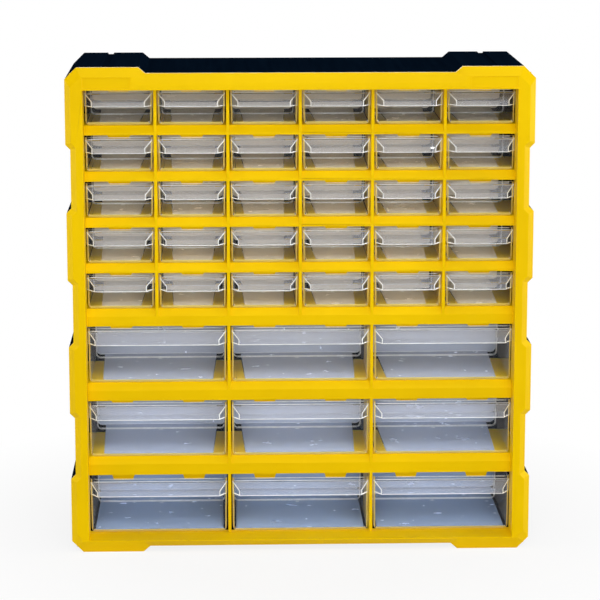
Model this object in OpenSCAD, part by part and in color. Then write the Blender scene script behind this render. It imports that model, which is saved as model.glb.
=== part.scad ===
// Parts bin cabinet: a yellow front grid on a dark housing, filled with small and large clear drawers.
// Millimetres. +Z is up, the front faces -Y, and the origin is the middle of the footprint, on the floor.
// "Depth" below always means the distance behind the foremost plane of the front frame.

/* [Cabinet] */
// Overall width
cabinet_w = 480; // [430:5:540]
// Overall depth with the drawers closed
cabinet_d = 160; // [145:5:220]
// Overall height
cabinet_h = 510; // [480:5:600]
// 45 degree cut at the four corners
corner_cut = 12; // [8:1:15]
// Width of the raised block at each corner, which is also a foot at the bottom
corner_block_w = 75; // [60:1:100]
// How far the top and bottom edges step in between the corner blocks
middle_step_h = 6; // [3:0.5:7]
// Run of the slope from a corner block to the stepped edge
middle_step_run = 7; // [4:0.5:12]

/* [Side notches] */
// Number of hand notches down each side
notch_count = 3; // [1:1:3]
// Distance between the centres of two notches
notch_pitch = 140.7; // [120:0.1:150]
// Length of the flat bottom of a notch
notch_len = 60.7; // [40:0.1:80]
// Depth of a notch, whose ends slope at 45 degrees
notch_depth = 5; // [3:0.5:6]

/* [Front frame] */
// Width of the frame at each side of the drawers
side_band_w = 18.25; // [16:0.25:24]
// Height of the frame above the drawers
top_band_h = 23; // [21:0.5:30]
// Height of the sill that the bottom drawers stand on
sill_h = 16; // [15:0.5:20]
// Fall of the sill towards its front edge
sill_fall = 2.6; // [1:0.1:3]
// Depth of the bevel round the frame's outer edge
bevel_d = 5; // [3:0.5:6]
// Width of the bevel at the sides
bevel_side_w = 6; // [4:0.5:7]
// Height of the bevel at the top
bevel_top_h = 9.5; // [7:0.5:11]
// Width of the bevel at the corner cuts
bevel_corner_w = 10; // [6:0.5:11]
// Height of the bevel's upper edge above the floor, at the bottom
bevel_bottom_z = 12.5; // [9:0.5:12.5]
// Depth of the frame's outer edge, where the housing meets it
edge_d = 8; // [7:0.5:10]
// Wall thickness of the frame
frame_wall = 2.4; // [2:0.1:3]
// Length of the tongue that pushes into the housing
tongue_len = 8; // [5:0.5:9]
// Thickness of the tongue
tongue_t = 2; // [1.5:0.1:2.5]

/* [Label panels] */
// Width of the blank label recess over the outer drawers
label_w = 48.5; // [30:0.5:60]
// Height of the label recess
label_h = 11; // [6:0.5:11]
// Depth of the label recess
label_recess = 0.8; // [0.3:0.1:1]
// Gap between the label recess and the drawer opening
label_gap = 2; // [1:0.5:3]

/* [Grid] */
// Columns of small drawers, two for each column of large drawers
small_columns = 6; // [4:2:8]
// Rows of small drawers
small_rows = 5; // [3:1:6]
// Rows of large drawers
large_rows = 3; // [2:1:3]
// Depth of the grid's front face
grid_inset = 17; // [16:0.5:20]
// Length of the ledges and uprights, back from the grid's front face
grid_len = 105; // [60:1:120]
// Thickness of the uprights between the columns
upright_t = 3.2; // [2:0.1:4]
// Height of the flat face of a bar between small rows
small_bar_h = 2.3; // [1.5:0.1:5]
// Height of the flat face of the bar between the small and the large rows
middle_bar_h = 10.5; // [6:0.5:16]
// Height of the flat face of a bar between large rows
large_bar_h = 11.5; // [6:0.5:16]
// Rise of the slope from a bar's face to the ledge behind it
slope_rise = 7.2; // [5:0.1:9]
// Run of that slope
slope_run = 6; // [4:0.5:8]
// Depth of a bar's body
bar_d = 10; // [9.5:0.5:11]
// Wall thickness of a bar
bar_wall = 2.2; // [1.8:0.1:2.6]
// Thickness of the ledges
ledge_t = 2; // [1.5:0.1:2.5]
// Width of the ledge at each side of a cell, behind the bar
ledge_w = 15.5; // [11:0.5:17]
// Width of the ledge at its rear end
ledge_end_w = 12; // [9:0.5:15]
// Length of the strip behind a bar that spans the whole cell
front_strip_len = 12; // [11.5:0.5:16]
// Radius of the round moulding marks where bars and uprights cross
mark_r = 2.2; // [1:0.1:3]
// Depth of the moulding marks
mark_d = 0.4; // [0.2:0.1:0.6]

/* [Stop tabs] */
// Width of a tab at its root
tab_root_w = 25; // [15:0.5:30]
// Width of a tab at its tip
tab_tip_w = 20; // [10:0.5:25]
// Thickness of a tab
tab_t = 2.5; // [1.5:0.1:3]
// Gap between a closed drawer's front wall and the tab behind it
tab_gap = 2; // [1:0.1:2.2]
// How far a tab reaches below the rim of the drawer
tab_catch = 1.5; // [1:0.1:3]

/* [Drawers] */
// Height of a large drawer
large_drawer_h = 58.2; // [50:0.1:62]
// Wall thickness of the drawers
drawer_wall = 1.5; // [1.2:0.1:2]
// Depth of a closed drawer's front wall behind the grid's front face
drawer_inset = 2.5; // [1.5:0.1:3]
// Gap between a drawer's rim and the upright at each side
side_gap = 1.1; // [0.6:0.1:1.5]
// Running gap between a drawer's floor and its ledge
glide_gap = 0.3; // [0.2:0.05:0.5]
// Gap over a drawer, in which its rim is lifted off the stop tab
top_gap = 2.5; // [1.5:0.1:4]
// Wider gap over the bottom row
base_top_gap = 5.3; // [2:0.1:7]
// How much narrower each side of a drawer is at the floor
side_draft = 0.6; // [0:0.1:2]
// Outer radius of the long bottom edges
bottom_r = 6; // [4:0.5:7]
// Outer radius of the edges round the front wall, at the sides and the bottom
front_r = 5; // [3:0.5:6]
// Distance from the front to the divider groove of a small drawer
small_groove_at = 80; // [60:1:110]
// Distance from the front to the divider groove of a large drawer
large_groove_at = 110; // [60:1:115]
// Width of the divider groove
groove_w = 1.6; // [1.2:0.1:2.4]
// Thickness of the ribs at each side of the divider groove
rib_t = 1; // [0.8:0.1:1.4]
// Height of those ribs above the wall that they stand on
rib_h = 0.9; // [0.5:0.1:1.2]
// Radius of the gate mark on a drawer's floor
gate_r = 1.8; // [1:0.1:3]
// Height of the gate mark
gate_h = 0.4; // [0.2:0.1:0.6]

/* [Drawer pull] */
// Reach of the pull in front of the drawer
pull_reach = 12; // [9:0.5:14]
// Fall of the pull's top from the drawer to its nose
pull_fall = 7.4; // [4:0.1:8]
// Height of the pull's nose
pull_nose_h = 5.8; // [4:0.1:8]
// Inset of each end of the nose from the drawer's side
pull_inset = 7.5; // [4:0.5:12]
// Height of the rim over the pull on a small drawer
small_rim_h = 2.2; // [1.5:0.1:5]
// Height of the rim over the pull on a large drawer
large_rim_h = 3; // [1.5:0.1:8]
// Wall thickness of the pull
pull_wall = 1.4; // [1:0.1:2]

/* [Housing] */
// Thickness of the housing's side walls, top and bottom
housing_wall = 3; // [2.5:0.1:4]
// Thickness of the housing's back
back_wall = 3; // [2.5:0.1:4]
// Height of the ribs inside the back that stop the drawers
stop_rib_h = 4.7; // [3:0.1:8]
// Thickness of those ribs
stop_rib_t = 2; // [1.5:0.1:3]
// Gap between a closed drawer and the stop ribs
rear_gap = 0.3; // [0.2:0.05:0.5]
// Thickness of the rails that carry the bottom drawers
rail_t = 2.4; // [1.5:0.1:4]
// Distance from the side of a cell to the middle of its rail
rail_inset = 10.5; // [10:0.5:20]
// Distance from the cabinet's side to the groove along each top block
top_groove_inset = 41; // [25:1:50]
// Width of that groove
top_groove_w = 6; // [3:0.5:10]
// Depth of that groove
top_groove_d = 1.6; // [0.5:0.1:1.8]
// Distance between the two keyholes in the back
keyhole_span = 300; // [260:5:320]
// Height of the keyholes' round entry above the floor
keyhole_z = 430; // [380:5:440]
// Radius of the round entry, for the head of a wall screw
keyhole_head_r = 4.5; // [4:0.1:5.5]
// Half width of the slot over it, for the shank of the screw
keyhole_slot_r = 2.3; // [1.8:0.1:3]
// Length of the slot from the entry's centre to the centre of its round end
keyhole_slot_len = 11; // [9:0.5:16]

/* [Snap catches] */
// Width of a catch on the tongue
catch_w = 12; // [8:1:20]
// Height of a catch
catch_h = 1.2; // [0.8:0.1:1.4]
// Length of a catch
catch_len = 3; // [2:0.5:4]
// Distance from the middle to the catches at top and bottom
catch_x = 100; // [60:5:130]
// Clearance where the frame fits into the housing
fit_gap = 0.2; // [0.1:0.05:0.3]

/* [Hidden] */
$fn = 48;
over = 1; // by this much a cut runs past a face, or a union overlaps

front_y = -cabinet_d / 2;
block_x = cabinet_w / 2 - corner_block_w;
notch_x = cabinet_w / 2 - notch_depth;

opening_w = cabinet_w - 2 * side_band_w;
opening_top = cabinet_h - top_band_h;
large_columns = small_columns / 2;
small_cell_w = (opening_w - (small_columns - 1) * upright_t) / small_columns;
large_cell_w = (opening_w - (large_columns - 1) * upright_t) / large_columns;

slope_vertical_t = bar_wall * sqrt(1 + pow(slope_rise / slope_run, 2));
rim_d = grid_inset + bar_d;
rim_bottom = sill_h - sill_fall - frame_wall;
grid_end = grid_inset + grid_len;
strip_end = grid_inset + front_strip_len;
drawer_front = grid_inset + drawer_inset;
drawer_rear = cabinet_d - back_wall - stop_rib_h - rear_gap;
tab_front = drawer_front + drawer_wall + tab_gap;

// Seat and top of the large rows, counted from the top; the bottom row stands on the sill.
function large_seat(row) = row == large_rows ? sill_h : large_top(row + 1) + large_bar_h + slope_rise;
function large_gap(row) = row == large_rows ? base_top_gap : top_gap;
function large_top(row) = large_seat(row) + glide_gap + large_drawer_h + large_gap(row);

// The small rows share what is left of the height.
first_small_seat = large_top(1) + middle_bar_h + slope_rise;
small_pitch = (opening_top - first_small_seat + small_bar_h + slope_rise) / small_rows;
small_drawer_h = small_pitch - small_bar_h - slope_rise - glide_gap - top_gap;
function small_seat(row) = first_small_seat + (small_rows - row) * small_pitch;
function small_top(row) = small_seat(row) + glide_gap + small_drawer_h + top_gap;

// Middle of a column's cells, and middle of the upright at the right of a column
function cell_x(column, cell_w) = -opening_w / 2 + cell_w / 2 + (column - 1) * (cell_w + upright_t);
function upright_x(column, cell_w) = cell_x(column, cell_w) + (cell_w + upright_t) / 2;
small_cells = [for (c = [1:small_columns]) cell_x(c, small_cell_w)];
small_uprights = [for (c = [1:small_columns - 1]) upright_x(c, small_cell_w)];
large_uprights = [for (c = [1:large_columns - 1]) upright_x(c, large_cell_w)];

floor_z = middle_step_h + housing_wall;

// Outline of the cabinet from the front, counter-clockwise: the right half, then its mirror image
notch_zs = [for (i = [1:notch_count]) cabinet_h / 2 + (i - (notch_count + 1) / 2) * notch_pitch];
function notch_points(z) = [
    [cabinet_w / 2, z - notch_len / 2 - notch_depth],
    [notch_x, z - notch_len / 2],
    [notch_x, z + notch_len / 2],
    [cabinet_w / 2, z + notch_len / 2 + notch_depth]
];
right_half = [
    [block_x - middle_step_run, middle_step_h],
    [block_x, 0],
    [cabinet_w / 2 - corner_cut, 0],
    [cabinet_w / 2, corner_cut],
    for (z = notch_zs) each notch_points(z),
    [cabinet_w / 2, cabinet_h - corner_cut],
    [cabinet_w / 2 - corner_cut, cabinet_h],
    [block_x, cabinet_h],
    [block_x - middle_step_run, cabinet_h - middle_step_h]
];
half_count = len(right_half);
outline = [
    each right_half,
    for (i = [half_count - 1:-1:0]) [-right_half[i][0], right_half[i][1]]
];

// The outline with every edge moved inwards by one distance
function direction(a, b) = (b - a) / norm(b - a);
function inward(u) = [-u[1], u[0]];
function meeting(a, u, b, v) = a + u * cross(b - a, v) / cross(u, v);
function inset_outline(distance) = [
    for (i = [0:len(outline) - 1])
        let (
            n = len(outline),
            p = outline[i],
            u = direction(outline[(i + n - 1) % n], p),
            v = direction(p, outline[(i + 1) % n])
        )
        meeting(p + distance * inward(u), u, p + distance * inward(v), v)
];

frame_yellow = "#F7CC00";
housing_black = "#18212E";
drawer_clear = [0.80, 0.86, 0.92, 0.35];

function small_name(row, column) = str("small_drawer_r", row, "_c", column);
function large_name(row, column) = str("large_drawer_r", row, "_c", column);

// A front view shape, given as x and z, made solid between two depths
module slab(from_depth, to_depth) {
    translate([0, front_y + to_depth, 0])
        rotate([90, 0, 0])
            linear_extrude(to_depth - from_depth) children();
}

// A side view shape, given as depth and z, made solid between two x places
module prism(from_x, to_x) {
    translate([from_x, front_y, 0])
        rotate([90, 0, 90])
            linear_extrude(to_x - from_x) children();
}

module span(from_x, to_x, from_z, to_z) {
    translate([from_x, from_z]) square([to_x - from_x, to_z - from_z]);
}

// ---- Front frame ----

// Everything on the left of the line from a to b, with a bevel along that line
module bevelled_side(a, b, width) {
    n = inward(direction(a, b));
    reach = 2 * (cabinet_w + cabinet_h);
    translate([a[0], front_y, a[1]])
        rotate([0, -atan2(n[1], n[0]), 0])
            translate([0, 0, -reach / 2])
                linear_extrude(reach)
                    polygon([[0, edge_d], [0, bevel_d], [width, 0], [reach, 0], [reach, edge_d]]);
}

module bevelled_sides(points, widths) {
    intersection_for(i = [0:len(widths) - 1])
        bevelled_side(points[i], points[i + 1], widths[i]);
}

module both_ways() {
    children();
    mirror([1, 0, 0]) children();
}

// The front is the union of convex pieces, each reaching from one notch's middle to the next: a core as
// wide as the notches leave, a wider piece between two notches, and a block at each corner.
module front_core() {
    low = middle_step_h;
    top = cabinet_h - low;
    bevelled_sides(
        [[-notch_x, low], [notch_x, low], [notch_x, top], [-notch_x, top], [-notch_x, low]],
        [bevel_bottom_z - low, bevel_side_w, bevel_top_h, bevel_side_w]
    );
}

module front_between(from_notch, to_notch) {
    low = notch_points(from_notch);
    high = notch_points(to_notch);
    intersection() {
        bevelled_sides([low[2], low[3], high[0], high[1]], [bevel_side_w, bevel_side_w, bevel_side_w]);
        mirror([1, 0, 0])
            bevelled_sides([low[2], low[3], high[0], high[1]], [bevel_side_w, bevel_side_w, bevel_side_w]);
        slab(0, edge_d) span(-cabinet_w / 2, cabinet_w / 2, from_notch, to_notch);
    }
}

module front_bottom_block() {
    corner = [for (i = [0:5]) right_half[i]];
    intersection() {
        bevelled_sides(corner, [
            bevel_bottom_z - middle_step_h / 2, bevel_bottom_z, bevel_corner_w, bevel_side_w, bevel_side_w
        ]);
        slab(0, edge_d) span(0, cabinet_w / 2, 0, notch_zs[0]);
    }
}

module front_top_block() {
    corner = [for (i = [half_count - 6:half_count - 1]) right_half[i]];
    intersection() {
        bevelled_sides(corner, [bevel_side_w, bevel_side_w, bevel_corner_w, bevel_top_h, bevel_top_h]);
        slab(0, edge_d) span(0, cabinet_w / 2, notch_zs[notch_count - 1], cabinet_h);
    }
}

module bevelled_slab() {
    front_core();
    if (notch_count > 1)
        for (i = [1:notch_count - 1])
            front_between(notch_zs[i - 1], notch_zs[i]);
    both_ways() {
        front_bottom_block();
        front_top_block();
    }
}

// Outside of the wall round the drawer opening
module rim_block() {
    half_w = opening_w / 2 + frame_wall;
    span(-half_w, half_w, rim_bottom, opening_top + frame_wall);
}

module opening_profile() {
    polygon([
        [-over, sill_h - sill_fall],
        [0, sill_h - sill_fall],
        [grid_inset, sill_h],
        [rim_d + over, sill_h],
        [rim_d + over, opening_top],
        [-over, opening_top]
    ]);
}

module tongue_ring() {
    outer = housing_wall + fit_gap;
    difference() {
        polygon(inset_outline(outer));
        polygon(inset_outline(outer + tongue_t));
    }
}

// Catches on the tongue, or with a clearance their pockets in the housing
module catches(clearance) {
    from_depth = edge_d + tongue_len - catch_len - clearance;
    half_w = catch_w / 2 + clearance;
    height = catch_h + clearance;
    side_x = cabinet_w / 2 - housing_wall - fit_gap;
    top_z = cabinet_h - floor_z - fit_gap;
    bottom_z = floor_z + fit_gap;
    side_z = notch_pitch / 2;
    slab(from_depth, edge_d + tongue_len + clearance) {
        for (x = [-catch_x, catch_x]) {
            span(x - half_w, x + half_w, top_z - over, top_z + height);
            span(x - half_w, x + half_w, bottom_z - height, bottom_z + over);
        }
        for (z = [cabinet_h / 2 - side_z, cabinet_h / 2 + side_z]) {
            span(side_x - over, side_x + height, z - half_w, z + half_w);
            span(-side_x - height, over - side_x, z - half_w, z + half_w);
        }
    }
}

module label_recesses() {
    z = opening_top + label_gap;
    slab(-over, label_recess) {
        span(-opening_w / 2, label_w - opening_w / 2, z, z + label_h);
        span(opening_w / 2 - label_w, opening_w / 2, z, z + label_h);
    }
}

// Stop tabs under a bar, one over the middle of each small column
module stop_tabs(under_z, gap_below) {
    tip_z = under_z - gap_below - tab_catch;
    slab(tab_front, tab_front + tab_t)
        for (x = small_cells)
            polygon([
                [x - tab_root_w / 2, under_z],
                [x - tab_tip_w / 2, tip_z],
                [x + tab_tip_w / 2, tip_z],
                [x + tab_root_w / 2, under_z]
            ]);
}

module front_frame() {
    roof_d = bevel_d + over;
    color(frame_yellow) {
        difference() {
            union() {
                bevelled_slab();
                slab(roof_d, rim_d) rim_block();
            }
            prism(-opening_w / 2, opening_w / 2) opening_profile();
            slab(frame_wall, edge_d + over)
                difference() {
                    intersection() {
                        polygon(inset_outline(bevel_side_w + frame_wall));
                        span(-cabinet_w / 2, cabinet_w / 2, rim_bottom, cabinet_h);
                    }
                    rim_block();
                }
            slab(roof_d, edge_d + over)
                difference() {
                    polygon(inset_outline(frame_wall));
                    rim_block();
                }
            label_recesses();
        }
        difference() {
            union() {
                slab(roof_d - over / 2, edge_d + tongue_len) tongue_ring();
                catches(0);
            }
            slab(roof_d - over, edge_d + tongue_len + over) rim_block();
        }
        stop_tabs(opening_top, top_gap);
    }
}

// ---- Shelves and uprights ----

module bar_profile(seat, face_h) {
    face_top = seat - slope_rise;
    base = face_top - face_h;
    difference() {
        polygon([
            [grid_inset, base],
            [rim_d, base],
            [rim_d, seat - ledge_t],
            [strip_end, seat - ledge_t],
            [strip_end, seat],
            [grid_inset + slope_run, seat],
            [grid_inset, face_top]
        ]);
        intersection() {
            span(grid_inset + bar_wall, rim_d + over, base + bar_wall, seat - ledge_t);
            polygon([
                [grid_inset, base],
                [grid_inset, face_top - slope_vertical_t],
                [grid_inset + 2 * slope_run, seat + slope_rise - slope_vertical_t],
                [grid_inset + 2 * slope_run, base]
            ]);
        }
    }
}

// Ledges at both sides of each cell, which narrow to the rear
module ledges(seat, uprights) {
    outer_x = notch_x - housing_wall - fit_gap;
    half_t = upright_t / 2;
    translate([0, front_y, seat - ledge_t])
        linear_extrude(ledge_t) {
            both_ways()
                polygon([
                    [outer_x, strip_end],
                    [outer_x, grid_end],
                    [opening_w / 2 - ledge_end_w, grid_end],
                    [opening_w / 2 - ledge_w, strip_end]
                ]);
            for (x = uprights)
                translate([x, 0])
                    polygon([
                        [half_t + ledge_w, strip_end],
                        [half_t + ledge_end_w, grid_end],
                        [-half_t - ledge_end_w, grid_end],
                        [-half_t - ledge_w, strip_end]
                    ]);
        }
}

// Side view of an upright from a seat to the bar above, and behind that bar on to the height of the next ledge
module upright_profile(seat, top, next_ledge) {
    step_d = rim_d + fit_gap;
    polygon([
        [grid_inset, seat - slope_rise - over],
        [grid_inset + slope_run, seat - over],
        [grid_end, seat - over],
        [grid_end, next_ledge],
        [step_d, next_ledge],
        [step_d, top],
        [grid_inset, top]
    ]);
}

module upright_walls(uprights) {
    for (x = uprights)
        prism(x - upright_t / 2, x + upright_t / 2) children();
}

module bar_marks(xs, z) {
    slab(grid_inset - over, grid_inset + mark_d)
        for (x = xs)
            translate([x, z]) circle(r = mark_r);
}

// One row's bar, ledges and uprights, with the stop tabs of the row below
module shelf(seat, face_h, top, next_ledge, uprights, gap_below, marks) {
    base = seat - slope_rise - face_h;
    color(frame_yellow) {
        difference() {
            prism(-opening_w / 2, opening_w / 2) bar_profile(seat, face_h);
            bar_marks(marks, base + face_h / 2);
        }
        ledges(seat, uprights);
        upright_walls(uprights) upright_profile(seat, top, next_ledge);
        stop_tabs(base, gap_below);
    }
}

module small_shelf(row) {
    last = row == small_rows;
    shelf(
        seat = small_seat(row),
        face_h = last ? middle_bar_h : small_bar_h,
        top = small_top(row),
        next_ledge = small_seat(row - 1) - ledge_t,
        uprights = small_uprights,
        gap_below = last ? large_gap(1) : top_gap,
        marks = last ? [small_uprights[0], small_uprights[small_columns - 2]] : []
    );
}

module large_shelf(row) {
    shelf(
        seat = large_seat(row),
        face_h = large_bar_h,
        top = large_top(row),
        next_ledge = (row == 1 ? first_small_seat : large_seat(row - 1)) - ledge_t,
        uprights = large_uprights,
        gap_below = large_gap(row + 1),
        marks = row == large_rows - 1 ? large_uprights : []
    );
}

// The uprights of the bottom row stand on the sill and, behind it, on the housing's floor.
module base_uprights() {
    sill_end = rim_d + fit_gap;
    next_ledge = large_seat(large_rows - 1) - ledge_t;
    color(frame_yellow)
        upright_walls(large_uprights)
            polygon([
                [grid_inset, sill_h],
                [sill_end, sill_h],
                [sill_end, floor_z + fit_gap],
                [grid_end, floor_z + fit_gap],
                [grid_end, next_ledge],
                [sill_end, next_ledge],
                [sill_end, large_top(large_rows)],
                [grid_inset, large_top(large_rows)]
            ]);
}

// ---- Rear housing ----

module keyholes() {
    slab(cabinet_d - back_wall - over, cabinet_d + over)
        for (x = [-keyhole_span / 2, keyhole_span / 2])
            translate([x, keyhole_z]) {
                circle(r = keyhole_head_r);
                translate([0, keyhole_slot_len]) circle(r = keyhole_slot_r);
                translate([-keyhole_slot_r, 0]) square([2 * keyhole_slot_r, keyhole_slot_len]);
            }
}

module top_grooves() {
    x = cabinet_w / 2 - top_groove_inset;
    slab(edge_d - over, cabinet_d + over)
        for (side = [-1, 1])
            translate([side * x, cabinet_h])
                square([top_groove_w, 2 * top_groove_d], center = true);
}

// Ribs that stop the drawers and rails that carry the bottom row
module inner_ribs() {
    rib_from = cabinet_d - back_wall - stop_rib_h;
    rib_to = cabinet_d - back_wall / 2;
    slab(rib_from, rib_to)
        intersection() {
            polygon(inset_outline(housing_wall / 2));
            for (x = small_cells)
                span(x - stop_rib_t / 2, x + stop_rib_t / 2, 0, cabinet_h);
        }
    slab(rim_d + fit_gap, rib_to)
        intersection() {
            polygon(inset_outline(housing_wall / 2));
            for (c = [1:large_columns], side = [-1, 1])
                let (x = cell_x(c, large_cell_w) + side * (large_cell_w / 2 - rail_inset))
                    span(x - rail_t / 2, x + rail_t / 2, 0, sill_h);
        }
}

module rear_housing() {
    color(housing_black) {
        difference() {
            slab(edge_d, cabinet_d) polygon(outline);
            slab(edge_d - over, cabinet_d - back_wall) polygon(inset_outline(housing_wall));
            catches(fit_gap);
            top_grooves();
            keyholes();
        }
        inner_ribs();
    }
}

// ---- Drawers ----

// Cross-section of a drawer with rounded long edges, shrunk by a wall thickness
module trough(w, top, wall) {
    half_top = w / 2 - wall;
    half_floor = w / 2 - side_draft - wall;
    r = bottom_r - wall;
    polygon([
        [-half_top, top],
        [-half_floor, wall + r],
        [half_floor, wall + r],
        [half_top, top]
    ]);
    span(r - half_floor, half_floor - r, wall, wall + 2 * r);
    for (side = [-1, 1])
        translate([side * (half_floor - r), wall + r]) circle(r = r);
}

// Plan of a drawer with round front corners, shrunk by a wall thickness
module drawer_plan(w, wall) {
    r = front_r - wall;
    half_w = w / 2 - wall;
    from_d = drawer_front + wall;
    to_d = drawer_rear - wall;
    translate([r - half_w, from_d]) square([2 * (half_w - r), to_d - from_d]);
    translate([-half_w, from_d + r]) square([2 * half_w, to_d - from_d - r]);
    for (side = [-1, 1])
        translate([side * (half_w - r), from_d + r]) circle(r = r);
}

// Side view of a drawer with a round lower front edge, shrunk by a wall thickness
module drawer_side(top, wall) {
    r = front_r - wall;
    from_d = drawer_front + wall;
    to_d = drawer_rear - wall;
    span(from_d + r, to_d, wall, top);
    span(from_d, to_d, wall + r, top);
    translate([from_d + r, wall + r]) circle(r = r);
}

module drawer_block(w, top, wall) {
    intersection() {
        slab(drawer_front + wall, drawer_rear - wall) trough(w, top, wall);
        prism(-w / 2, w / 2) drawer_side(top, wall);
        translate([0, front_y, 0]) linear_extrude(top) drawer_plan(w, wall);
    }
}

module divider_ribs(w, top, groove_at) {
    first = drawer_front + groove_at;
    for (d = [first - rib_t, first + groove_w])
        slab(d, d + rib_t)
            difference() {
                trough(w, top, drawer_wall / 2);
                trough(w, top + over, drawer_wall + rib_h);
            }
}

// The pull: side view cut by plan view, hollow from below
module pull_block(w, rim_z, wall, back_d) {
    lean = sqrt(1 + pow(pull_fall / pull_reach, 2));
    splay = sqrt(1 + pow(pull_inset / pull_reach, 2));
    nose_d = drawer_front - pull_reach + wall;
    top_z = rim_z - wall * lean;
    nose_z = top_z - pull_fall * (drawer_front - nose_d) / pull_reach;
    bottom_z = rim_z - pull_fall - pull_nose_h - (wall > 0 ? over : 0);
    half_w = w / 2 - wall * splay;
    nose_half_w = half_w - pull_inset * (drawer_front - nose_d) / pull_reach;
    intersection() {
        prism(-w / 2, w / 2)
            polygon([
                [back_d, top_z],
                [drawer_front, top_z],
                [nose_d, nose_z],
                [nose_d, bottom_z],
                [back_d, bottom_z]
            ]);
        translate([0, front_y, bottom_z - over])
            linear_extrude(rim_z - bottom_z + 2 * over)
                polygon([
                    [-half_w, back_d],
                    [-half_w, drawer_front],
                    [-nose_half_w, nose_d],
                    [nose_half_w, nose_d],
                    [half_w, drawer_front],
                    [half_w, back_d]
                ]);
    }
}

module pull(w, rim_z) {
    difference() {
        pull_block(w, rim_z, 0, drawer_front + drawer_wall / 2);
        pull_block(w, rim_z, pull_wall, drawer_front);
    }
}

module drawer(cell_w, h, rim_h, groove_at) {
    w = cell_w - 2 * side_gap;
    gate_d = drawer_front + groove_at - groove_w - 2 * gate_r;
    color(drawer_clear) {
        difference() {
            drawer_block(w, h, 0);
            drawer_block(w, h + over, drawer_wall);
        }
        divider_ribs(w, h - rim_h, groove_at);
        translate([0, front_y + gate_d, drawer_wall - gate_h]) cylinder(r = gate_r, h = 2 * gate_h);
        pull(w, h - rim_h);
    }
}

module small_drawer(row, column) {
    translate([cell_x(column, small_cell_w), 0, small_seat(row) + glide_gap])
        drawer(small_cell_w, small_drawer_h, small_rim_h, small_groove_at);
}

module large_drawer(row, column) {
    translate([cell_x(column, large_cell_w), 0, large_seat(row) + glide_gap])
        drawer(large_cell_w, large_drawer_h, large_rim_h, large_groove_at);
}

front_frame();
rear_housing();
base_uprights();
for (r = [1:small_rows])
    small_shelf(r);
for (r = [1:large_rows - 1])
    large_shelf(r);
for (r = [1:small_rows], c = [1:small_columns])
    small_drawer(r, c);
for (r = [1:large_rows], c = [1:large_columns])
    large_drawer(r, c);
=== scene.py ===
"""A parts bin cabinet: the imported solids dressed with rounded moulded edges, plastic finishes and studio light."""

import functools
import math

import bmesh
import bpy
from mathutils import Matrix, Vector


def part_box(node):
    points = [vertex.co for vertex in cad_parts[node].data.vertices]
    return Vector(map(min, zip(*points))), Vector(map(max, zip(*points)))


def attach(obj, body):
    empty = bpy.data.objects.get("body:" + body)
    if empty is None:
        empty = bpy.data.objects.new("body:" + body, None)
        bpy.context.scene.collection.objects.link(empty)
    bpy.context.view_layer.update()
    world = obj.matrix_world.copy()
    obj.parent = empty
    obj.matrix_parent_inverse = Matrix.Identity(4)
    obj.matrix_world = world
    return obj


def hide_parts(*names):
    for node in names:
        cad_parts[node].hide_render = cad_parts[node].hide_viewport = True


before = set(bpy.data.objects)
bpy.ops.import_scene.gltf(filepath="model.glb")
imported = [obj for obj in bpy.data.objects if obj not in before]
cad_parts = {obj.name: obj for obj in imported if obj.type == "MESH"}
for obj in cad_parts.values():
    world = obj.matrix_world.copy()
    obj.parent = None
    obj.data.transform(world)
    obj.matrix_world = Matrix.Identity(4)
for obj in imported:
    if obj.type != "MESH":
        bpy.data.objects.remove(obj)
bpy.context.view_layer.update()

SMALL_ROWS, SMALL_COLUMNS = 5, 6
LARGE_ROWS, LARGE_COLUMNS = 3, 3


def numbered(stem, count):
    return [f"{stem}{number}" for number in range(1, count + 1)]


SHELVES = numbered("small_shelf_", SMALL_ROWS) + numbered("large_shelf_", LARGE_ROWS - 1)
SMALL_DRAWERS = [numbered(row + "_c", SMALL_COLUMNS) for row in numbered("small_drawer_r", SMALL_ROWS)]
LARGE_DRAWERS = [numbered(row + "_c", LARGE_COLUMNS) for row in numbered("large_drawer_r", LARGE_ROWS)]

# ---- Materials ----


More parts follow.
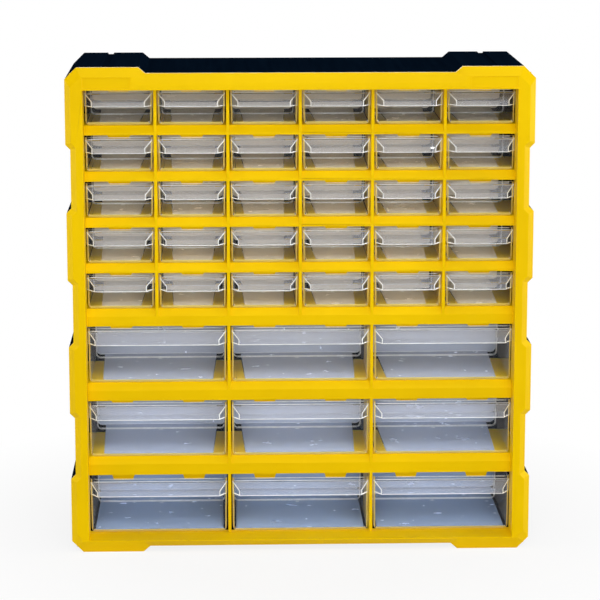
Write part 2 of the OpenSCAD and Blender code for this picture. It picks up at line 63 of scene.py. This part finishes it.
class Nodes:
    """A short way to write the node tree of a material or a world."""

    def __init__(self, owner, output="ShaderNodeOutputMaterial"):
        owner.use_nodes = True
        self.owner = owner
        self.tree = owner.node_tree
        self.tree.nodes.clear()
        self.output = self.node(output)

    @functools.cached_property
    def object_space(self):
        """The object's own coordinates, in metres."""
        return self.node("ShaderNodeTexCoord").outputs["Object"]

    def node(self, kind, *values, **settings):
        """A new node. The values go into its first sockets in order, a setting with a capital goes into the socket
        of that name, and any other setting is a property of the node.
        """
        node = self.tree.nodes.new(kind)
        for socket, value in zip(node.inputs, values):
            self.feed(socket, value)
        for key, value in settings.items():
            if key[0].isupper():
                self.feed(node.inputs[key.replace("_", " ")], value)
            else:
                setattr(node, key, value)
        return node

    def feed(self, socket, value):
        """Links a socket to another node's output, or sets its own value."""
        if isinstance(value, bpy.types.NodeSocket):
            self.tree.links.new(value, socket)
        else:
            socket.default_value = value

    def out(self, kind, *values, **settings):
        """The first output of a new node."""
        return self.node(kind, *values, **settings).outputs[0]

    def noise(self, scale, detail, roughness=0.5, stretch=None):
        """Noise in the object's own space, which stretch scales along each axis first."""
        place = self.object_space
        if stretch:
            place = self.out("ShaderNodeMapping", Vector=place, Scale=stretch)
        node = self.node("ShaderNodeTexNoise", Scale=scale, Detail=detail, Roughness=roughness, Vector=place)
        return node.outputs["Fac"]

    def ranged(self, value, to=(0.0, 1.0), of=(0.0, 1.0)):
        """A value whose range of is spread over the range to, and which stays in it."""
        return self.out("ShaderNodeMapRange", value, *of, *to)

    def product(self, a, b):
        return self.out("ShaderNodeMath", a, b, operation="MULTIPLY")

    def mix(self, share, under, over):
        """One colour with a share of another over it, through the mixing node's colour sockets."""
        node = self.node("ShaderNodeMix", share, data_type="RGBA")
        self.feed(node.inputs[6], under)
        self.feed(node.inputs[7], over)
        return node.outputs[2]

    def bump(self, height, distance, strength, **under):
        return self.out("ShaderNodeBump", Height=height, Distance=distance, Strength=strength, **under)

    def finish(self, shader):
        self.feed(self.output.inputs["Surface"], shader)
        return self.owner


def linear(r, g, b):
    """A screen colour from 0 to 255 as linear light."""
    parts = [(v / 255 / 12.92) if v <= 10 else ((v / 255 + 0.055) / 1.055) ** 2.4 for v in (r, g, b)]
    return (*parts, 1.0)


def yellow_plastic():
    """Satin moulded yellow: faint flow clouds, a fine grain and rubbed, slightly paler streaks."""
    n = Nodes(bpy.data.materials.new("yellow_plastic"))
    clouds = n.noise(scale=9.0, detail=2.0)
    grain = n.noise(scale=1500.0, detail=2.0, roughness=0.6)
    streaks = n.noise(scale=1.0, detail=5.0, roughness=0.65, stretch=(38.0, 38.0, 7.0))
    moulded = n.mix(n.ranged(clouds, of=(0.35, 0.65)), linear(233, 190, 0), linear(240, 198, 0))
    rubbed = n.product(n.ranged(streaks, of=(0.56, 0.78)), 0.22)
    swell = n.bump(n.noise(scale=28.0, detail=1.0), distance=0.0006, strength=0.3)
    shader = n.out(
        "ShaderNodeBsdfPrincipled",
        Base_Color=n.mix(rubbed, moulded, linear(248, 210, 22)),
        Roughness=n.ranged(n.noise(scale=60.0, detail=3.0), to=(0.3, 0.44)),
        Normal=n.bump(grain, distance=0.00004, strength=0.5, Normal=swell),
        IOR=1.46,
        Specular_IOR_Level=0.36,
        Specular_Tint=(1.0, 0.82, 0.1, 1.0),
    )
    return n.finish(shader)


def dark_plastic():
    """Fine-grained dark blue-grey housing, with long flow lines and a little dust in the grain."""
    n = Nodes(bpy.data.materials.new("dark_plastic"))
    grain = n.noise(scale=2100.0, detail=3.0, roughness=0.65)
    flow = n.noise(scale=1.0, detail=4.0, roughness=0.6, stretch=(160.0, 6.0, 160.0))
    specks = n.noise(scale=420.0, detail=2.0, roughness=0.7)
    moulded = n.mix(n.ranged(flow, of=(0.3, 0.7)), linear(5, 17, 31), linear(9, 23, 38))
    dust = n.product(n.ranged(specks, of=(0.66, 0.8)), 0.15)
    swell = n.bump(n.noise(scale=22.0, detail=2.0), distance=0.0008, strength=0.25)
    shader = n.out(
        "ShaderNodeBsdfPrincipled",
        Base_Color=n.mix(dust, moulded, linear(34, 50, 68)),
        Roughness=n.ranged(flow, to=(0.55, 0.72)),
        Normal=n.bump(grain, distance=0.00006, strength=0.7, Normal=swell),
        IOR=1.4,
        Specular_IOR_Level=0.0,
    )
    return n.finish(shader)


SMEARED = 1.8  # how much rougher the clear plastic is where it is smeared


def clear_plastic(name, tint, transmission, roughness, waviness=0.0, ior=1.2):
    """Clear styrene. What isn't transmitted is a slight haze, which in the drawers' edges, pulls, roundings and
    insides also carries painted light, and light passes through without a dark shadow.
    """
    n = Nodes(bpy.data.materials.new(name))
    smears = n.noise(scale=55.0, detail=4.0, roughness=0.6)
    waves = n.noise(scale=26.0, detail=1.0)
    body = n.out(
        "ShaderNodeBsdfPrincipled",
        Base_Color=(*tint, 1.0),
        Roughness=n.ranged(smears, to=(roughness, SMEARED * roughness), of=(0.35, 0.7)),
        Normal=n.bump(waves, distance=0.0005, strength=waviness),
        IOR=ior,
        Transmission_Weight=transmission,
    )
    light_through = n.out("ShaderNodeBsdfTransparent", Color=(0.96, 0.97, 0.98, 1.0))
    in_shadow = n.node("ShaderNodeLightPath").outputs["Is Shadow Ray"]
    return n.finish(n.out("ShaderNodeMixShader", in_shadow, body, light_through))


def hazes_with_painted_light(name, rear_tint, rear_transmission, floor_tint, floor_transmission):
    """The slightly milky plastic of a drawer's rear wall and of its floor, with a tint and milkiness that also paint
    the light inside the drawer.
    """
    rear = clear_plastic(name + "_rear_haze_and_painted_light", rear_tint, rear_transmission, roughness=0.16, waviness=0.04)
    floor = clear_plastic(name + "_floor_haze_and_painted_light", floor_tint, floor_transmission, roughness=0.16, waviness=0.04)
    return rear, floor


YELLOW = yellow_plastic()
DARK = dark_plastic()
CLEAR = clear_plastic("clear_plastic", (0.98, 0.985, 0.99), 0.994, roughness=0.015, ior=1.012)
# A faint yellow tint on the small drawers' sides is a painted gold reflection of the yellow ledges and uprights; the
# milkier blue-white sides of the large drawers paint their bluish light.
CLEAR_SIDES_PAINTED_GOLD = clear_plastic("clear_sides_painted_gold", (1.0, 0.97, 0.9), 0.985, roughness=0.015, ior=1.001)
MILKY_SIDES_PAINTED_BLUE = clear_plastic("milky_sides_painted_blue", (0.96, 0.97, 1.0), 0.93, roughness=0.015, ior=1.001)
# The milky rear walls and floors also carry painted light: a yellow tint in the small drawers paints light bounced
# from the yellow cabinet, and each row of large drawers gets its own pale to blue tint and milkiness of painted
# light.
WARM_HAZES_PAINTED_YELLOW_LIGHT = hazes_with_painted_light("warm_painted_yellow_light", (0.98, 0.88, 0.72), 0.18, (0.97, 0.88, 0.70), 0.36)
PALE_HAZES_PAINTED_LIGHT = hazes_with_painted_light("pale", (0.77, 0.82, 0.95), 0.56, (0.77, 0.82, 0.95), 0.54)
BLUISH_HAZES_PAINTED_LIGHT = hazes_with_painted_light("bluish", (0.74, 0.81, 0.97), 0.52, (0.74, 0.81, 0.97), 0.54)
BLUE_HAZES_PAINTED_LIGHT = hazes_with_painted_light("blue", (0.60, 0.74, 0.98), 0.52, (0.60, 0.74, 0.98), 0.62)
# Mostly white and opaque: a painted highlight on the drawers' rounded thin edges.
PAINTED_HIGHLIGHT_EDGE = clear_plastic("painted_highlight_clear_edge", (1.0, 1.0, 0.98), 0.12, roughness=0.2)
# Milky plastic on the pull, whose white haze also paints the sheen of reflected light.
PULL_HAZE_AND_PAINTED_SHEEN = clear_plastic("hazy_pull_and_painted_sheen", (0.95, 0.96, 1.0), 0.92, roughness=0.05, waviness=0.04)
# A gold tint in the front roundings: a painted reflection of the yellow ledges and uprights around the drawer.
PAINTED_GOLD_REFLECTION = clear_plastic("painted_gold_reflection_edge", (1.0, 0.82, 0.22), 0.4, roughness=0.3)

# ---- Pieces ----

WELD = 1e-6
COPLANAR = math.radians(0.5)
SHARP = math.radians(28)
MOST_CORNERS = 16  # a flat face with more is cut into triangles
LEVEL = 0.99  # the upright share of a level face's normal


def linked(name, data):
    thing = bpy.data.objects.new(name, data)
    bpy.context.scene.collection.objects.link(thing)
    return thing


def level_faces(bm):
    """The faces that lie level, with their edges and corners, each of them once."""
    faces = [face for face in bm.faces if abs(face.normal.z) > LEVEL]
    edges = dict.fromkeys(edge for face in faces for edge in face.edges)
    corners = dict.fromkeys(corner for face in faces for corner in face.verts)
    return [*faces, *edges, *corners]


def dressed_mesh(node, name, materials, choose=None, weight=None, cuts=()):
    """A copy of a CAD node's mesh with flat faces joined.

    choose gives a face's material from its middle and normal, weight gives an edge's share of the rounding,
    and cuts are the places and normals of the planes that divide the level faces.
    """
    mesh = bpy.data.meshes.new(name)
    for material in materials:
        mesh.materials.append(material)
    bm = bmesh.new()
    bm.from_mesh(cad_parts[node].data)
    bmesh.ops.remove_doubles(bm, verts=bm.verts, dist=WELD)
    bmesh.ops.dissolve_limit(bm, angle_limit=COPLANAR, verts=bm.verts, edges=bm.edges)
    bmesh.ops.triangulate(bm, faces=[face for face in bm.faces if len(face.verts) > MOST_CORNERS])
    for place, normal in cuts:
        bmesh.ops.bisect_plane(bm, geom=level_faces(bm), plane_co=place, plane_no=normal, dist=WELD)
    if weight:
        bevel_weight = bm.edges.layers.float.new("bevel_weight_edge")
        for edge in bm.edges:
            if len(edge.link_faces) == 2 and edge.calc_face_angle() > SHARP:
                edge[bevel_weight] = weight(edge)
    for face in bm.faces:
        face.smooth = True
        face.material_index = choose(face.calc_center_median(), face.normal) if choose else 0
    bm.to_mesh(mesh)
    bm.free()
    mesh.set_sharp_from_angle(angle=SHARP)
    return mesh


def rounded(mesh, name, node, body, slot, width, **settings):
    """Shows a mesh in a node's place, with its edges rounded and its flat faces kept flat."""
    piece = linked(name, mesh)
    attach(piece, body)
    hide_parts(node)
    bevel = piece.modifiers.new("rounding", "BEVEL")
    bevel.width = width
    bevel.segments = 2
    bevel.loop_slide = False
    bevel.miter_outer = "MITER_ARC"
    for key, value in settings.items():
        setattr(bevel, key, value)
    flatten = piece.modifiers.new("flat_faces", "WEIGHTED_NORMAL")
    flatten.mode = "FACE_AREA"
    flatten.weight = 90
    flatten.keep_sharp = True


def moulding(node, name, material, slot, width):
    """An opaque moulded piece, with every sharp edge rounded alike."""
    mesh = dressed_mesh(node, name, [material])
    rounded(mesh, name, node, "cabinet", slot, width, limit_method="ANGLE", angle_limit=SHARP)


# Places on a drawer.
ON_PLANE = 0.0002  # a point this close to a plane lies on it
WALL_DEPTH = 0.00165  # its 1.5 mm wall and a little more
PULL_REACH = 0.012  # how far the pull stands in front of the front wall
PULL_START = 0.0005  # a point this far in front of the front wall belongs to the pull
PULL_FACES = 0.001  # the middle of a face of the pull lies this far in front
PULL_HALFWAY = 0.003  # the height on the pull's front edge that parts its lower rim from its upper one
ROUND_DEPTH = 0.005  # how far the front wall's roundings reach to the rear
CORNER_WIDTH = 0.006  # how near a side an edge belongs to a corner
SHORT_EDGE, LONG_EDGE = 0.002, 0.03  # an edge is short below the first length, and long above the second

# What lies under a drawer.
LEDGE_SHARE = 0.0149  # a ledge's width under each side of a drawer, at its front
LEDGE_TAPER = 0.0035 / 0.105  # how fast the ledge narrows to the rear
BASE_SHARE = 0.004  # the bottom row stands on the housing's rails, without ledges
FRONT_STRIP = 0.0095  # how far a shelf's front strip reaches under a drawer

# Shares of a face's normal along an axis.
SQUARE = 0.9  # from here on the face looks along the axis
SLANTED = 0.3  # up to here it looks past the axis
FLATTEST, FLATTEST_BELOW = -0.8, -0.95  # a rounding's faces look less to the front than this, above and below
STEEPEST = -0.12  # and more to the front than this
DOWNWARD = -0.2

# The places of a drawer's materials.
WALL, REAR, EDGE, ROUNDING, PULL, SIDE, FLOOR = range(7)

# The rounding of a drawer's edges in metres, and the shares of it that they take.
FULL_WIDTH = 0.001
NO_SHARE, FINE_SHARE, PLAIN_SHARE, RIM_SHARE, FRONT_SHARE, PULL_SHARE = 0, 0.12, 0.2, 0.4, 0.45, 0.6


def bin_drawer(node, haze, sides, ledge):
    """A clear drawer: milky floor and rear wall that also carry painted light, a painted gold reflection in the
    front roundings, bright thin edges that are painted highlights, and a pull whose haze paints a sheen.
    """
    low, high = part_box(node)
    front_y = low.y + PULL_REACH
    middle_x = (low.x + high.x) / 2
    half_width = (high.x - low.x) / 2
    panel_half = half_width - ledge
    corners = [vertex.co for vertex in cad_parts[node].data.vertices]
    pull_middle_z = min(corner.z for corner in corners if corner.y < low.y + ON_PLANE) + PULL_HALFWAY

    def choose(middle, normal):
        behind = middle.y - front_y
        if middle.y > high.y - WALL_DEPTH and abs(normal.y) > SQUARE:
            return REAR
        at_floor = middle.z < low.z + WALL_DEPTH and abs(normal.z) > SQUARE
        if at_floor and behind > FRONT_STRIP and abs(middle.x - middle_x) < panel_half + LEDGE_TAPER * behind:
            return FLOOR
        if behind < -PULL_FACES and abs(normal.x) < SLANTED:
            return PULL
        flattest = FLATTEST_BELOW if normal.z < DOWNWARD else FLATTEST
        if -PULL_START < behind < ROUND_DEPTH and flattest < normal.y < STEEPEST:
            return ROUNDING
        return SIDE if abs(normal.x) > SQUARE else WALL

    def weight(edge):
        a, b = (vertex.co for vertex in edge.verts)
        middle = (a + b) / 2
        length = (a - b).length
        from_side = half_width - abs(middle.x - middle_x)
        on_pull = middle.y < front_y - PULL_START
        upper_rim = middle.y < low.y + ON_PLANE and length > LONG_EDGE and middle.z > pull_middle_z
        if upper_rim or on_pull and not edge.is_convex:
            return NO_SHARE
        if length < SHORT_EDGE or from_side < CORNER_WIDTH and middle.y > front_y - PULL_START:
            return FINE_SHARE
        if on_pull:
            return PULL_SHARE
        if middle.y < front_y + ON_PLANE:
            return FRONT_SHARE
        return RIM_SHARE if middle.z > high.z - ON_PLANE and edge.is_convex else PLAIN_SHARE

    name = node + "_bin"
    cuts = [((middle_x + side * panel_half, front_y, 0), (1, -side * LEDGE_TAPER, 0)) for side in (-1, 1)]
    cuts.append(((middle_x, front_y + FRONT_STRIP, 0), (0, 1, 0)))
    rear_haze_and_painted_light, floor_haze_and_painted_light = haze
    materials = [CLEAR, rear_haze_and_painted_light, PAINTED_HIGHLIGHT_EDGE, PAINTED_GOLD_REFLECTION, PULL_HAZE_AND_PAINTED_SHEEN, sides, floor_haze_and_painted_light]
    mesh = dressed_mesh(node, name, materials, choose, weight, cuts)
    # The rounded faces of the edges take the painted highlight material.
    weighted = {"limit_method": "WEIGHT", "use_clamp_overlap": False, "material": EDGE}
    rounded(mesh, name, node, node, "clear_drawer", FULL_WIDTH, **weighted)


moulding("front_frame", "front_bezel", YELLOW, "yellow_front", width=0.0009)
moulding("rear_housing", "housing_shell", DARK, "dark_housing", width=0.0008)
moulding("base_uprights", "base_upright_walls", YELLOW, "yellow_front", width=0.0005)
for shelf in SHELVES:
    moulding(shelf, shelf + "_moulding", YELLOW, "yellow_front", width=0.0005)
for row in SMALL_DRAWERS:
    for drawer in row:
        bin_drawer(drawer, WARM_HAZES_PAINTED_YELLOW_LIGHT, CLEAR_SIDES_PAINTED_GOLD, LEDGE_SHARE)
LARGE_ROW_LOOKS = [(PALE_HAZES_PAINTED_LIGHT, LEDGE_SHARE), (BLUISH_HAZES_PAINTED_LIGHT, LEDGE_SHARE), (BLUE_HAZES_PAINTED_LIGHT, BASE_SHARE)]
for row, (haze, ledge) in zip(LARGE_DRAWERS, LARGE_ROW_LOOKS):
    for drawer in row:
        bin_drawer(drawer, haze, MILKY_SIDES_PAINTED_BLUE, ledge)

# ---- Floor, light and camera ----

WHITE = (1.0, 1.0, 1.0, 1.0)
FLOOR_HALF = 30.0
GLOW_START, GLOW_END = 0.2, 0.5  # metres from the cabinet's foot, over which the floor turns fully white
FLOOR_CORNERS = [(x * FLOOR_HALF, y * FLOOR_HALF, 0) for x, y in ((-1, -1), (1, -1), (1, 1), (-1, 1))]


def add_floor():
    """A pale floor that the camera sees as white further out, and that keeps the cabinet's shadow near it."""
    n = Nodes(bpy.data.materials.new("pale_floor"))
    away = n.node("ShaderNodeVectorMath", n.object_space, operation="LENGTH").outputs["Value"]
    seen = n.node("ShaderNodeLightPath").outputs["Is Camera Ray"]
    share = n.product(seen, n.ranged(away, to=(0.84, 1.0), of=(GLOW_START, GLOW_END)))
    diffuse = n.out("ShaderNodeBsdfDiffuse", Color=(0.86, 0.86, 0.86, 1.0))
    glow = n.out("ShaderNodeEmission", Color=WHITE, Strength=1.0)
    mesh = bpy.data.meshes.new("floor")
    mesh.from_pydata(FLOOR_CORNERS, [], [(0, 1, 2, 3)])
    mesh.materials.append(n.finish(n.out("ShaderNodeMixShader", share, diffuse, glow)))
    plane = linked("floor", mesh)


def add_world():
    """White to the camera, in gloss and through clear plastic, and a faint light for everything else."""
    n = Nodes(bpy.data.worlds.new("studio"), "ShaderNodeOutputWorld")
    path = n.node("ShaderNodeLightPath").outputs
    by_plastic = n.out("ShaderNodeMath", path["Is Glossy Ray"], path["Is Transmission Ray"], operation="MAXIMUM")
    seen = n.out("ShaderNodeMath", path["Is Camera Ray"], by_plastic, operation="MAXIMUM")
    light = n.out("ShaderNodeBackground", Color=(0.97, 0.985, 1.0, 1.0), Strength=0.14)
    white = n.out("ShaderNodeBackground", Color=WHITE, Strength=1.0)
    bpy.context.scene.world = n.finish(n.out("ShaderNodeMixShader", seen, light, white))


def aimed(name, data, place, aim):
    thing = linked(name, data)
    thing.location = place
    thing.rotation_euler = (Vector(aim) - Vector(place)).to_track_quat("-Z", "Y").to_euler()
    return thing


def add_lamp(name, place, size, power):
    lamp = bpy.data.lights.new(name, "AREA")
    lamp.shape = "RECTANGLE"
    lamp.size, lamp.size_y = size
    lamp.energy = power
    aimed(name, lamp, place, aim=(0, 0, 0.25))


add_floor()
add_world()
add_lamp("key", (0.25, -2.3, 2.55), (2.2, 1.4), power=35.0)
add_lamp("front", (0.1, -3.0, 0.8), (2.0, 1.4), power=24.0)
add_lamp("right", (2.7, -0.6, 0.7), (0.9, 1.8), power=34.0)
add_lamp("left", (-2.7, -0.6, 0.7), (0.9, 1.8), power=24.0)
add_lamp("rear", (0.3, 3.0, 0.7), (2.0, 1.2), power=20.0)
add_lamp("top", (0.2, -0.5, 2.6), (1.6, 1.0), power=7.5)

view = bpy.data.cameras.new("camera")
view.sensor_width = 36.0
view.lens = 142.6
view.shift_y = -0.1
view.clip_end = 100.0
bpy.context.scene.camera = aimed("camera", view, place=(-0.08, -2.48, 0.762), aim=(-0.0023, -0.119, 0.3393))

bpy.context.scene.view_settings.view_transform = "Standard"
